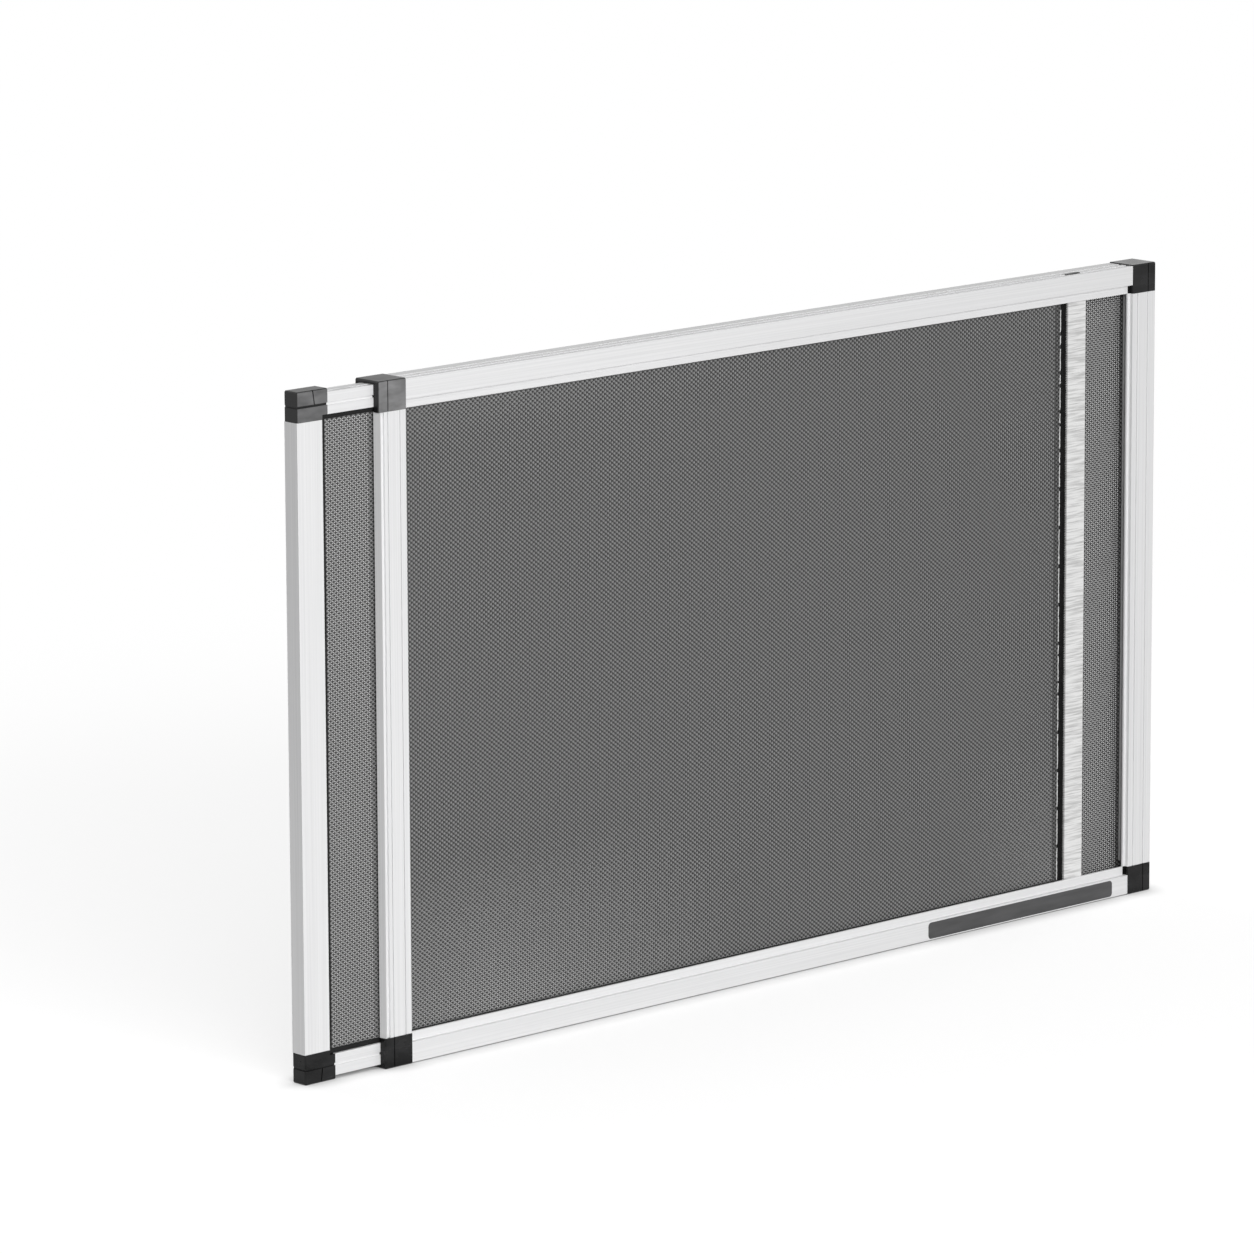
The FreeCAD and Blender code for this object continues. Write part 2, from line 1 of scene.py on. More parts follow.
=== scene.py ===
"""Looks of an adjustable window screen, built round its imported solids.

The metal and the mouldings are copies of the solids with softened edges. Both cloths and the turned
hem of the inner one are woven of single threads, and the splines and the pile seal are modelled as
soft goods. A bare sticker, frayed thread ends and the stops in the rails' slots are added to them.
Lengths are metres in the frame of the solids: X across, Y to the back, Z up.
"""

import json
import logging
import math
from collections.abc import Iterator
from contextlib import contextmanager
from dataclasses import dataclass
from enum import Enum

import bpy
from mathutils import Matrix, Vector

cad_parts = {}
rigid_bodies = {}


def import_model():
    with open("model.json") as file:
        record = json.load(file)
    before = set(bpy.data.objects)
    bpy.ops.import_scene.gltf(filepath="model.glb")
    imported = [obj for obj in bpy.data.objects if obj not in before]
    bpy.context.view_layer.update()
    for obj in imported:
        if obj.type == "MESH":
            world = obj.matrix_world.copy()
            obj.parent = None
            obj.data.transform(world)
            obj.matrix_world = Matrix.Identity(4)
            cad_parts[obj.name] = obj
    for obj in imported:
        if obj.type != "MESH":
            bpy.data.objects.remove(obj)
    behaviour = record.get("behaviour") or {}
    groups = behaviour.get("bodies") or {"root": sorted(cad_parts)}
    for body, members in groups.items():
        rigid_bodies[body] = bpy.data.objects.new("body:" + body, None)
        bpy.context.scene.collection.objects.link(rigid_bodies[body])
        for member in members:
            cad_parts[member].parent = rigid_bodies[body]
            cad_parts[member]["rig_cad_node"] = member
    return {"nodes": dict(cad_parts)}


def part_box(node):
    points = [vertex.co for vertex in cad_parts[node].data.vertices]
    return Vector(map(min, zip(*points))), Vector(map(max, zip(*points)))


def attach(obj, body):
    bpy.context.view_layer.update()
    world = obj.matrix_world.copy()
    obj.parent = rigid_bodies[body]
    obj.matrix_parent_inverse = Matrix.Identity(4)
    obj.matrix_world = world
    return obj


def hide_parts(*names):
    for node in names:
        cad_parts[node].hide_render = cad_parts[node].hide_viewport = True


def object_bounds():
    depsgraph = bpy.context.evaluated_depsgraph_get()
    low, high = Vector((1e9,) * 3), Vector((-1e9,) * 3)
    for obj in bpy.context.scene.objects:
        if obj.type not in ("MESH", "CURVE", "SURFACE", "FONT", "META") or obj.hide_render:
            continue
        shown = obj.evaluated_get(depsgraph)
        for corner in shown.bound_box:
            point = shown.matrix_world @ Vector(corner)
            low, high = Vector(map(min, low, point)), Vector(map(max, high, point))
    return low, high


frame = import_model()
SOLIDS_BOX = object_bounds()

LOG = logging.getLogger("window_screen")
MM = 0.001
QUARTER_TURN = math.pi / 2
WHITE = (1.0, 1.0, 1.0, 1.0)

Box = tuple[Vector, Vector]
Range = tuple[float, float]
Triple = tuple[float, float, float]
Tone = Triple
Socket = bpy.types.NodeSocket


class Body(Enum):
    """The two halves of the screen that slide on each other."""

    OUTER = "outer_frame"
    INNER = "inner_frame"


class Slot(Enum):
    """Material slots of the record."""

    ALUMINIUM = "satin_aluminium"
    BAR = "white_bar"
    MOULDING = "black_moulding"
    CLOTH = "mesh_cloth"
    SPLINE = "black_spline"
    PILE = "black_pile"


class Grain(Enum):
    """Way in which an extrusion was drawn, as the scale of its streaks on X, Y and Z."""

    ACROSS = (5.0, 1400.0, 1400.0)
    UPRIGHT = (1400.0, 1400.0, 5.0)


class RibWay(Enum):
    """Way in which ribs follow each other on a surface."""

    UPWARD = "Z"
    SLANTED = "DIAGONAL"


class ThreadWay(Enum):
    """Way in which a thread of a cloth runs: the warp upright, the weft level."""

    WARP = "warp"
    WEFT = "weft"


class Bench:
    """Hand tools of the modelling: take a piece, edit it, finish it."""

    SHARP_EDGE = math.radians(25.0)

    @staticmethod
    def clear() -> None:
        """Deselect everything."""
        bpy.ops.object.select_all(action="DESELECT")

    @staticmethod
    def take(piece: bpy.types.Object) -> None:
        """Select one piece alone and make it active.

        Args:
            piece: the piece to work on.
        """
        Bench.clear()
        piece.select_set(True)
        bpy.context.view_layer.objects.active = piece

    @staticmethod
    def settle(name: str, scale: Triple = (1.0, 1.0, 1.0)) -> bpy.types.Object:
        """Name the primitive just added, stretch it and put its place into its mesh.

        Args:
            name: name of the new piece.
            scale: stretch along its own axes.

        Returns:
            The piece, at the origin, unturned and unscaled.
        """
        piece = bpy.context.object
        piece.name = name
        piece.scale = scale
        bpy.ops.object.transform_apply(location=True, rotation=True, scale=True)
        return piece

    @staticmethod
    @contextmanager
    def editing(piece: bpy.types.Object) -> Iterator[None]:
        """Open a piece in edit mode with all of it selected, and close it at the end.

        Args:
            piece: the piece to edit.

        Returns:
            The context in which the piece is open.
        """
        Bench.take(piece)
        bpy.ops.object.mode_set(mode="EDIT")
        bpy.ops.mesh.select_all(action="SELECT")
        yield
        bpy.ops.object.mode_set(mode="OBJECT")

    @staticmethod
    def thicken(way: Vector) -> None:
        """Extrude the open piece into a closed plate whose faces point outwards.

        Args:
            way: how far, and in which direction.
        """
        bpy.ops.mesh.select_all(action="SELECT")
        bpy.ops.mesh.extrude_region_move(TRANSFORM_OT_translate={"value": way})
        bpy.ops.mesh.select_all(action="SELECT")
        bpy.ops.mesh.normals_make_consistent(inside=False)

    @staticmethod
    def modify(piece: bpy.types.Object, kind: str, **settings: object) -> None:
        """Add a modifier and apply it.

        Args:
            piece: the piece to change.
            kind: Blender's name of the modifier.
            settings: values of the modifier's properties.
        """
        Bench.take(piece)
        bpy.ops.object.modifier_add(type=kind)
        modifier = piece.modifiers[-1]
        for key, value in settings.items():
            setattr(modifier, key, value)
        bpy.ops.object.modifier_apply(modifier=modifier.name)

    @staticmethod
    def soften(piece: bpy.types.Object, width: float, segments: int = 2) -> None:
        """Round every sharp edge of a piece.

        Args:
            piece: the piece to change.
            width: width of the rounding.
            segments: faces across the rounding.
        """
        Bench.modify(
            piece, "BEVEL", width=width, segments=segments,
            limit_method="ANGLE", angle_limit=Bench.SHARP_EDGE, use_clamp_overlap=True,
        )

    @staticmethod
    def repeat(piece: bpy.types.Object, count: int, step: Vector) -> None:
        """Repeat a piece in a row, in its own mesh.

        Args:
            piece: the piece to repeat.
            count: how many there are in the row.
            step: the way from one to the next.
        """
        Bench.modify(
            piece, "ARRAY", count=count, use_relative_offset=False,
            use_constant_offset=True, constant_offset_displace=step,
        )

    @staticmethod
    def join(pieces: list[bpy.types.Object]) -> bpy.types.Object:
        """Join pieces into the first one.

        Args:
            pieces: the pieces to join.

        Returns:
            The first piece, which now holds them all.
        """
        Bench.take(pieces[0])
        for piece in pieces[1:]:
            piece.select_set(True)
        bpy.ops.object.join()
        return pieces[0]

    @staticmethod
    def finish(piece: bpy.types.Object, body: Body, slot: Slot, skin: bpy.types.Material) -> None:
        """Give a piece its material and its place in the motion.

        Args:
            piece: the finished mesh.
            body: the half of the screen that it moves with.
            slot: the record's slot of its material; not used.
            skin: the material itself.
        """
        piece.data.materials.clear()
        piece.data.materials.append(skin)
        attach(piece, body.value)
        LOG.info("%s: %d faces on %s", piece.name, len(piece.data.polygons), body.value)


@dataclass(frozen=True)
class Speckle:
    """Noise of a finish: its scales on X, Y and Z, and its detail."""

    scale: Triple
    detail: float


@dataclass(frozen=True)
class Ribs:
    """Ribs of a finish: the way they follow each other, their scale and how far they stray."""

    way: RibWay
    scale: float
    waver: float


@dataclass(frozen=True)
class Relief:
    """Bump of a finish: its depth and how strongly it shows."""

    depth: float
    strength: float


class Tree:
    """A node tree, built node by node."""

    def __init__(self, tree: bpy.types.NodeTree) -> None:
        """Keep the tree that the nodes go into."""
        self.tree = tree

    def feed(self, socket: Socket, value: object) -> None:
        """Link an output to an input, or set a constant on it.

        Args:
            socket: the input.
            value: another node's output, or the constant.
        """
        if isinstance(value, Socket):
            self.tree.links.new(value, socket)
        else:
            socket.default_value = value

    def add(self, kind: str, inputs: dict[str | int, object], **settings: object) -> bpy.types.Node:
        """Add a node and feed it.

        Args:
            kind: Blender's name of the node.
            inputs: what its inputs get, by their names or numbers.
            settings: values of its properties.

        Returns:
            The node.
        """
        node = self.tree.nodes.new(kind)
        for key, value in settings.items():
            setattr(node, key, value)
        for key, value in inputs.items():
            self.feed(node.inputs[key], value)
        return node

    def place(self) -> Socket:
        """Object coordinates."""
        return self.add("ShaderNodeTexCoord", {}).outputs["Object"]

    def number(self, operation: str, *terms: float | Socket) -> Socket:
        """Work out a number from others.

        Args:
            operation: Blender's name of the operation.
            terms: the numbers, or the outputs that give them.

        Returns:
            The output that gives the result.
        """
        node = self.add("ShaderNodeMath", dict(enumerate(terms)), operation=operation)
        return node.outputs["Value"]


class Graph(Tree):
    """Node tree of one material of the screen."""

    def __init__(self, name: str) -> None:
        """Start a material with its shader.

        Args:
            name: name of the material.
        """
        self.material = bpy.data.materials.new(name)
        self.material.use_nodes = True
        super().__init__(self.material.node_tree)
        self.shader = self.tree.nodes["Principled BSDF"]

    def axis(self, name: str) -> Socket:
        """One of the Object coordinates."""
        return self.add("ShaderNodeSeparateXYZ", {"Vector": self.place()}).outputs[name]

    def noise(self, speckle: Speckle) -> Socket:
        """Noise in Object coordinates.

        Args:
            speckle: its scales and its detail.

        Returns:
            The noise, a number round 0.5.
        """
        scaled = self.add("ShaderNodeMapping", {"Vector": self.place(), "Scale": speckle.scale})
        texture = self.add("ShaderNodeTexNoise", {
            "Vector": scaled.outputs["Vector"], "Scale": 1.0, "Detail": speckle.detail,
        })
        return texture.outputs["Fac"]

    def ribs(self, ribs: Ribs) -> Socket:
        """Regular ribs in Object coordinates.

        Args:
            ribs: their way, scale and waver.

        Returns:
            Height of the ribs, from 0 to 1.
        """
        texture = self.add(
            "ShaderNodeTexWave",
            {"Vector": self.place(), "Scale": ribs.scale, "Distortion": ribs.waver},
            bands_direction=ribs.way.value,
        )
        return texture.outputs["Fac"]

    def weave(self, first: Range, pitch: Range) -> Socket:
        """Mask of a painted highlight on the crowns and a painted shade in the dips of a plain weave, in
        which threads pass over and under by turns.

        Args:
            first: places of the first upright thread on X and the first level thread on Z.
            pitch: distances from thread to thread on X and on Z.

        Returns:
            A number that is 1 on a crown of the upright threads and 0 in a dip.
        """
        waves = []
        for axis, start, step in zip("XZ", first, pitch):
            turn = math.pi / step
            angle = self.number("MULTIPLY_ADD", self.axis(axis), turn, -start * turn)
            waves.append(self.number("COSINE", angle))
        return self.number("MULTIPLY_ADD", self.number("MULTIPLY", *waves), 0.5, 0.5)

    def nearness(self, axis: str, face: float, fade: Range) -> Socket:
        """A number that is 1 on a face across an axis and falls to 0 behind it.

        Args:
            axis: name of the axis.
            face: place of the face on it.
            fade: distances behind the face at which the number reaches 0 and leaves 1.

        Returns:
            The number.
        """
        far, near = fade
        node = self.add("ShaderNodeMapRange", {
            "Value": self.axis(axis), "From Min": face + far, "From Max": face + near,
        })
        return node.outputs["Result"]

    def ramp(self, value: Socket, low: Tone, high: Tone, span: Range = (0.3, 0.7)) -> Socket:
        """Colours between two tones.

        Args:
            value: number from 0 to 1.
            low: colour at and under the start of the span.
            high: colour at and over its end.
            span: numbers at which the ramp starts and ends.

        Returns:
            The colour.
        """
        node = self.add("ShaderNodeValToRGB", {"Fac": value})
        first, last = node.color_ramp.elements
        first.position, last.position = span
        first.color = (*low, 1.0)
        last.color = (*high, 1.0)
        return node.outputs["Color"]

    def spread(self, value: Socket, span: Range) -> Socket:
        """Map a number from 0..1 to another range.

        Args:
            value: the number.
            span: what 0 and 1 become.

        Returns:
            The new number.
        """
        low, high = span
        node = self.add("ShaderNodeMapRange", {"Value": value, "To Min": low, "To Max": high})
        return node.outputs["Result"]

    def bump(self, height: Socket, relief: Relief) -> Socket:
        """Raise a surface.

        Args:
            height: height from 0 to 1.
            relief: what that height stands for.

        Returns:
            The surface's normal.
        """
        node = self.add("ShaderNodeBump", {
            "Height": height, "Distance": relief.depth, "Strength": relief.strength,
        })
        return node.outputs["Normal"]

    def dress(self, **inputs: object) -> bpy.types.Material:
        """Feed the shader.

        Args:
            inputs: what its inputs get, by their names with underscores for spaces.

        Returns:
            The finished material.
        """
        for key, value in inputs.items():
            self.feed(self.shader.inputs[key.replace("_", " ")], value)
        return self.material


@dataclass(frozen=True)
class SatinAluminium:
    """Drawn aluminium with a satin skin and fine streaks along the extrusion."""

    grain: Grain
    dark: Tone = (0.755, 0.755, 0.76)
    light: Tone = (0.83, 0.83, 0.835)
    metallic: float = 0.12
    specular: float = 0.1
    roughness: Range = (0.32, 0.46)
    streak_detail: float = 3.0
    clouds: Speckle = Speckle((14.0, 14.0, 14.0), 2.0)
    relief: Relief = Relief(0.02 * MM, 0.25)

    def material(self) -> bpy.types.Material:
        """Build the node tree and return the material."""
        graph = Graph(f"satin_aluminium_{self.grain.name.lower()}")
        streaks = graph.noise(Speckle(self.grain.value, self.streak_detail))
        return graph.dress(
            Base_Color=graph.ramp(streaks, self.dark, self.light),
            Roughness=graph.spread(graph.noise(self.clouds), self.roughness),
            Normal=graph.bump(streaks, self.relief),
            Metallic=self.metallic,
            Specular_IOR_Level=self.specular,
        )


@dataclass(frozen=True)
class BarPaint:
    """White skin of the closing bar, finely ribbed across, with painted shade in fine level wrinkles."""

    dark: Tone = (0.55, 0.55, 0.546)
    light: Tone = (0.84, 0.84, 0.835)
    roughness: Range = (0.40, 0.55)
    wrinkle_shade: Speckle = Speckle((60.0, 60.0, 1050.0), 2.0)
    wrinkle_shade_span: Range = (0.33, 0.58)
    clouds: Speckle = Speckle((30.0, 30.0, 30.0), 3.0)
    ribs: Ribs = Ribs(RibWay.UPWARD, 240.0, 2.0)
    relief: Relief = Relief(0.10 * MM, 0.5)

    def material(self) -> bpy.types.Material:
        """Build the node tree and return the material."""
        graph = Graph("white_bar_paint")
        wrinkle_shade = graph.noise(self.wrinkle_shade)
        return graph.dress(
            # Painted shade: thin darker level lines stand in for the shade of fine wrinkles.
            Base_Color=graph.ramp(wrinkle_shade, self.dark, self.light, self.wrinkle_shade_span),
            Roughness=graph.spread(graph.noise(self.clouds), self.roughness),
            Normal=graph.bump(graph.ribs(self.ribs), self.relief),
        )


@dataclass(frozen=True)
class BlackMoulding:
    """Black injection moulding with a fine spark-eroded grain and faint flow marks."""

    dark: Tone = (0.004, 0.004, 0.0042)
    light: Tone = (0.018, 0.018, 0.0185)
    roughness: Range = (0.12, 0.36)
    specular: float = 0.18
    flow: Speckle = Speckle((60.0, 60.0, 140.0), 3.0)
    grain: Speckle = Speckle((2600.0, 2600.0, 2600.0), 2.0)
    relief: Relief = Relief(0.02 * MM, 0.12)

    def title(self) -> str:
        """Name of the material."""
        return "black_moulding"

    def tone(self, graph: Graph, flow: Socket) -> Socket:
        """Colour of the moulding along its flow marks."""
        return graph.ramp(flow, self.dark, self.light)

    def material(self) -> bpy.types.Material:
        """Build the node tree and return the material."""
        graph = Graph(self.title())
        flow = graph.noise(self.flow)
        return graph.dress(
            Base_Color=self.tone(graph, flow),
            Roughness=graph.spread(flow, self.roughness),
            Normal=graph.bump(graph.noise(self.grain), self.relief),
            Specular_IOR_Level=self.specular,
        )


@dataclass(frozen=True, kw_only=True)
class SheenPaintedMoulding(BlackMoulding):
    """Black moulding with a painted sheen: grey painted in patches on its front face, black in its
    grooves and on its edges.
    """

    node: str
    light: Tone
    dark: Tone = (0.006, 0.006, 0.0062)
    roughness: Range = (0.28, 0.46)
    specular: float = 0.3
    fade: Range = (0.45 * MM, 0.05 * MM)
    patches: Range = (0.0, 1.4)
    painted_sheen_span: Range = (0.0, 1.0)

    def title(self) -> str:
        """Name of the material."""
        return f"{self.node}_greyed"

    def tone(self, graph: Graph, flow: Socket) -> Socket:
        """Colour of the moulding, with a painted sheen in patches on its front face.

        Args:
            graph: node tree of the material.
            flow: flow marks, which the patches follow.

        Returns:
            The colour.
        """
        front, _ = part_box(self.node)
        # Painted sheen: the front face is coloured grey in patches, standing in for a softbox's
        # reflection; grooves and edges keep the black.
        face = graph.nearness("Y", front.y, self.fade)
        painted_sheen = graph.number("MULTIPLY", face, graph.spread(flow, self.patches))
        return graph.ramp(painted_sheen, self.dark, self.light, self.painted_sheen_span)


@dataclass(frozen=True)
class CoatedThread:
    """Vinyl-coated glass thread of one mesh cloth, with a painted highlight on the crowns of its plain
    weave and a painted shade in its dips.
    """

    cloth: str
    first: Range
    pitch: Range
    dip: Tone
    crown: Tone
    roughness: Range = (0.36, 0.52)
    specular: float = 0.3
    filaments: Speckle = Speckle((1800.0, 1800.0, 1800.0), 2.0)
    relief: Relief = Relief(0.05 * MM, 0.4)

    def material(self) -> bpy.types.Material:
        """Build the node tree and return the material."""
        graph = Graph(f"{self.cloth}_thread")
        filaments = graph.noise(self.filaments)
        return graph.dress(
            # Painted highlight on the weave's crowns and painted shade in its dips.
            Base_Color=graph.ramp(graph.weave(self.first, self.pitch), self.dip, self.crown),
            Roughness=graph.spread(filaments, self.roughness),
            Normal=graph.bump(filaments, self.relief),
            Specular_IOR_Level=self.specular,
        )


@dataclass(frozen=True)
class RibbedVinyl:
    """Soft black vinyl of the splines, ribbed across so that it grips the cloth."""

    dark: Tone = (0.006, 0.006, 0.006)
    light: Tone = (0.014, 0.014, 0.014)
    roughness: Range = (0.48, 0.66)
    specular: float = 0.15
    clouds: Speckle = Speckle((60.0, 60.0, 60.0), 3.0)
    ribs: Ribs = Ribs(RibWay.SLANTED, 420.0, 0.0)
    relief: Relief = Relief(0.12 * MM, 0.6)

    def material(self) -> bpy.types.Material:
        """Build the node tree and return the material."""
        graph = Graph("ribbed_vinyl")
        clouds = graph.noise(self.clouds)
        return graph.dress(
            Base_Color=graph.ramp(clouds, self.dark, self.light),
            Roughness=graph.spread(clouds, self.roughness),
            Normal=graph.bump(graph.ribs(self.ribs), self.relief),
            Specular_IOR_Level=self.specular,
        )


@dataclass(frozen=True)
class PileFibre:
    """Black pile of the closing seal."""

    dark: Tone = (0.006, 0.006, 0.006)
    light: Tone = (0.018, 0.018, 0.018)
    roughness: float = 0.8
    specular: float = 0.15
    sheen: float = 0.03
    tufts: Speckle = Speckle((700.0, 700.0, 700.0), 3.0)
    relief: Relief = Relief(0.1 * MM, 0.5)

    def material(self) -> bpy.types.Material:
        """Build the node tree and return the material."""
        graph = Graph("pile_fibre")
        tufts = graph.noise(self.tufts)
        return graph.dress(
            Base_Color=graph.ramp(tufts, self.dark, self.light),
            Normal=graph.bump(tufts, self.relief),
            Roughness=self.roughness,
            Specular_IOR_Level=self.specular,
            Sheen_Weight=self.sheen,
        )


@dataclass(frozen=True)
class StickerFilm:
    """Dark film with nothing on it, a little scuffed."""

    dark: Tone = (0.040, 0.040, 0.041)
    light: Tone = (0.066, 0.066, 0.068)
    roughness: Range = (0.25, 0.42)
    scuffs: Speckle = Speckle((40.0, 40.0, 260.0), 4.0)
    relief: Relief = Relief(0.02 * MM, 0.2)

    def material(self) -> bpy.types.Material:
        """Build the node tree and return the material."""
        graph = Graph("sticker_film")
        scuffs = graph.noise(self.scuffs)
        return graph.dress(
            Base_Color=graph.ramp(scuffs, self.dark, self.light),
            Roughness=graph.spread(scuffs, self.roughness),
            Normal=graph.bump(scuffs, self.relief),
        )


@dataclass(frozen=True)
class SoftenedSolid:
    """A rigid solid shown as a copy whose edges are softened as drawn or moulded edges are."""

    node: str
    body: Body
    slot: Slot
    edge: float = 0.10 * MM
    merge_distance: float = 0.001 * MM
    flat_angle: float = math.radians(0.5)

    def build(self, skin: bpy.types.Material) -> bpy.types.Object:
        """Copy the solid, merge its triangles, soften its edges and dress it.

        Args:
            skin: material of the piece.

        Returns:
            The piece that stands for the solid.
        """
        Bench.take(frame["nodes"][self.node])
        bpy.ops.object.duplicate()
        piece = bpy.context.object
        piece.name = f"{self.node}_softened"
        # The copy is a piece of its own and no longer a node of the frame.
        piece.parent = None
        del piece["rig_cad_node"]
        with Bench.editing(piece):
            bpy.ops.mesh.remove_doubles(threshold=self.merge_distance)
            bpy.ops.mesh.dissolve_limited(angle_limit=self.flat_angle)
        Bench.soften(piece, self.edge)
        Bench.finish(piece, self.body, self.slot, skin)
        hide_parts(self.node)
        return piece


@dataclass(frozen=True)
class WovenCloth:
    """Insect mesh of upright threads in front and level threads behind, fused where they cross."""

    name: str
    body: Body
    # dip and crown are the tones of the painted shade and the painted highlight of the weave.
    dip: Tone = (0.040, 0.040, 0.040)
    crown: Tone = (0.260, 0.260, 0.260)
    warp_pitch: float = 1.70 * MM
    weft_pitch: float = 1.27 * MM
    thread_width: float = 0.95 * MM
    thread_depth: float = 0.36 * MM
    thread_sides: int = 6
    lap: float = 0.06 * MM

    def lay(self, reach: float, pitch: float) -> tuple[int, float]:
        """Space threads evenly over a reach.

        Args:
            reach: size of the cloth across the threads.
            pitch: distance from thread to thread.

        Returns:
            The number of threads, and the distance from the cloth's edge to the first one's middle.
        """
        room = reach - self.thread_width
        count = int(room / pitch) + 1
        return count, (self.thread_width + room - (count - 1) * pitch) / 2

    def threads(self, box: Box, way: ThreadWay) -> bpy.types.Object:
        """Model one thread and repeat it over the cloth.

        Args:
            box: corners of the cloth.
            way: the way that the thread runs.

        Returns:
            All the threads of that way.
        """
        low, high = box
        middle = (low + high) / 2
        width, height = high.x - low.x, high.z - low.z
        shift = (self.thread_depth - self.lap) / 2
        if way is ThreadWay.WARP:
            count, edge = self.lay(width, self.warp_pitch)
            length, turn = height, 0.0
            place = Vector((low.x + edge, middle.y - shift, middle.z))
            step = Vector((self.warp_pitch, 0.0, 0.0))
        else:
            count, edge = self.lay(height, self.weft_pitch)
            length, turn = width, QUARTER_TURN
            place = Vector((middle.x, middle.y + shift, low.z + edge))
            step = Vector((0.0, 0.0, self.weft_pitch))
        radius = self.thread_width / 2 / math.cos(math.pi / self.thread_sides)
        flattening = self.thread_depth / (2 * radius)
        Bench.clear()
        bpy.ops.mesh.primitive_cylinder_add(
            vertices=self.thread_sides, radius=radius, depth=length, location=place,
            rotation=(0.0, turn, 0.0),
        )
        piece = Bench.settle(f"{self.name}_{way.value}")
        with Bench.editing(piece):
            bpy.ops.transform.resize(value=(1.0, flattening, 1.0), center_override=place)
        Bench.repeat(piece, count, step)
        return piece

    def build(self, box: Box) -> bpy.types.Object:
        """Weave the cloth inside a box and dress it.

        Args:
            box: corners of the cloth.

        Returns:
            The cloth.
        """
        low, high = box
        _, first_warp = self.lay(high.x - low.x, self.warp_pitch)
        _, first_weft = self.lay(high.z - low.z, self.weft_pitch)
        cloth = Bench.join([self.threads(box, way) for way in ThreadWay])
        cloth.name = self.name
        skin = CoatedThread(
            self.name, (low.x + first_warp, low.z + first_weft), (self.warp_pitch, self.weft_pitch),
            self.dip, self.crown,
        )
        Bench.finish(cloth, self.body, Slot.CLOTH, skin.material())
        return cloth


@dataclass(frozen=True)
class PressedSpline:
    """Soft spline pressed round the edge of a cloth, in one length with rounded edges."""

    node: str
    body: Body
    band: float
    open_end: bool
    edge: float = 0.55 * MM
    edge_segments: int = 3

    def build(self, skin: bpy.types.Material) -> bpy.types.Object:
        """Inset a frame from a plane, give it its thickness and round it.

        An open spline is made two bands too long, so that the cut at its end takes the fourth side off.

        Args:
            skin: material of the spline.

        Returns:
            The spline, which stands for its solid.
        """
        low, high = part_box(self.node)
        spare = self.band * 2 if self.open_end else 0.0
        width, height = high.x + spare - low.x, high.z - low.z
        Bench.clear()
        bpy.ops.mesh.primitive_plane_add(
            size=1.0, rotation=(QUARTER_TURN, 0.0, 0.0),
            location=(low.x + width / 2, low.y, low.z + height / 2),
        )
        piece = Bench.settle(f"{self.node}_vinyl", (width, height, 1.0))
        with Bench.editing(piece):
            bpy.ops.mesh.select_mode(type="FACE")
            bpy.ops.mesh.inset(thickness=self.band)
            bpy.ops.mesh.delete(type="FACE")
            Bench.thicken(Vector((0.0, high.y - low.y, 0.0)))
            if self.open_end:
                bpy.ops.mesh.bisect(
                    plane_co=(high.x, 0.0, 0.0), plane_no=(1.0, 0.0, 0.0),
                    use_fill=True, clear_outer=True,
                )
        Bench.soften(piece, self.edge, self.edge_segments)
        Bench.finish(piece, self.body, Slot.SPLINE, skin)
        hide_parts(self.node)
        return piece


@dataclass(frozen=True)
class PileSeal:
    """Pile strip: rows of short tufts on a woven backing. The rows' leans are degrees."""

    node: str = "closing_pile_seal"
    body: Body = Body.INNER
    backing: float = 0.7 * MM
    backing_edge: float = 0.175 * MM
    tuft_root: float = 0.42 * MM
    tuft_tip: float = 0.16 * MM
    tuft_sides: int = 5
    tuft_room: float = 0.504 * MM
    row_pitches: tuple[float, ...] = (0.92 * MM, 1.01 * MM, 0.88 * MM, 0.97 * MM, 1.05 * MM)
    row_leans: tuple[float, ...] = (-14.0, 9.0, -5.0, 12.0, 16.0)

    def tuft_row(self, box: Box, row: int) -> bpy.types.Object:
        """Model one tuft and repeat it up the strip.

        Args:
            box: corners of the whole seal.
            row: number of the row, from the left.

        Returns:
            The row of tufts.
        """
        low, high = box
        pitch = self.row_pitches[row]
        lean = math.radians(self.row_leans[row])
        height = high.y - low.y - self.backing
        share = row / (len(self.row_pitches) - 1)
        across = low.x + self.tuft_room + (high.x - low.x - 2 * self.tuft_room) * share
        Bench.clear()
        bpy.ops.mesh.primitive_cone_add(
            vertices=self.tuft_sides, radius1=self.tuft_root, radius2=self.tuft_tip, depth=height,
            location=(across, low.y + height / 2, low.z + pitch),
            rotation=(QUARTER_TURN + lean, 0.0, lean / 2),
        )
        piece = Bench.settle(f"pile_row_{row}")
        count = int((high.z - low.z - 2 * pitch) / pitch)
        Bench.repeat(piece, count, Vector((0.0, 0.0, pitch)))
        return piece

    def build(self, skin: bpy.types.Material) -> bpy.types.Object:
        """Model the backing, plant the tufts and dress the strip.

        Args:
            skin: material of the pile.

        Returns:
            The strip, which stands for its solid.
        """
        low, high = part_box(self.node)
        size = high - low
        Bench.clear()
        bpy.ops.mesh.primitive_cube_add(
            size=1.0,
            location=(low.x + size.x / 2, high.y - self.backing / 2, low.z + size.z / 2),
        )
        strip = Bench.settle("closing_pile", (size.x, self.backing, size.z))
        Bench.soften(strip, self.backing_edge)
        rows = [self.tuft_row((low, high), row) for row in range(len(self.row_pitches))]
        strip = Bench.join([strip, *rows])
        Bench.finish(strip, self.body, Slot.PILE, skin)
        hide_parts(self.node)
        return strip


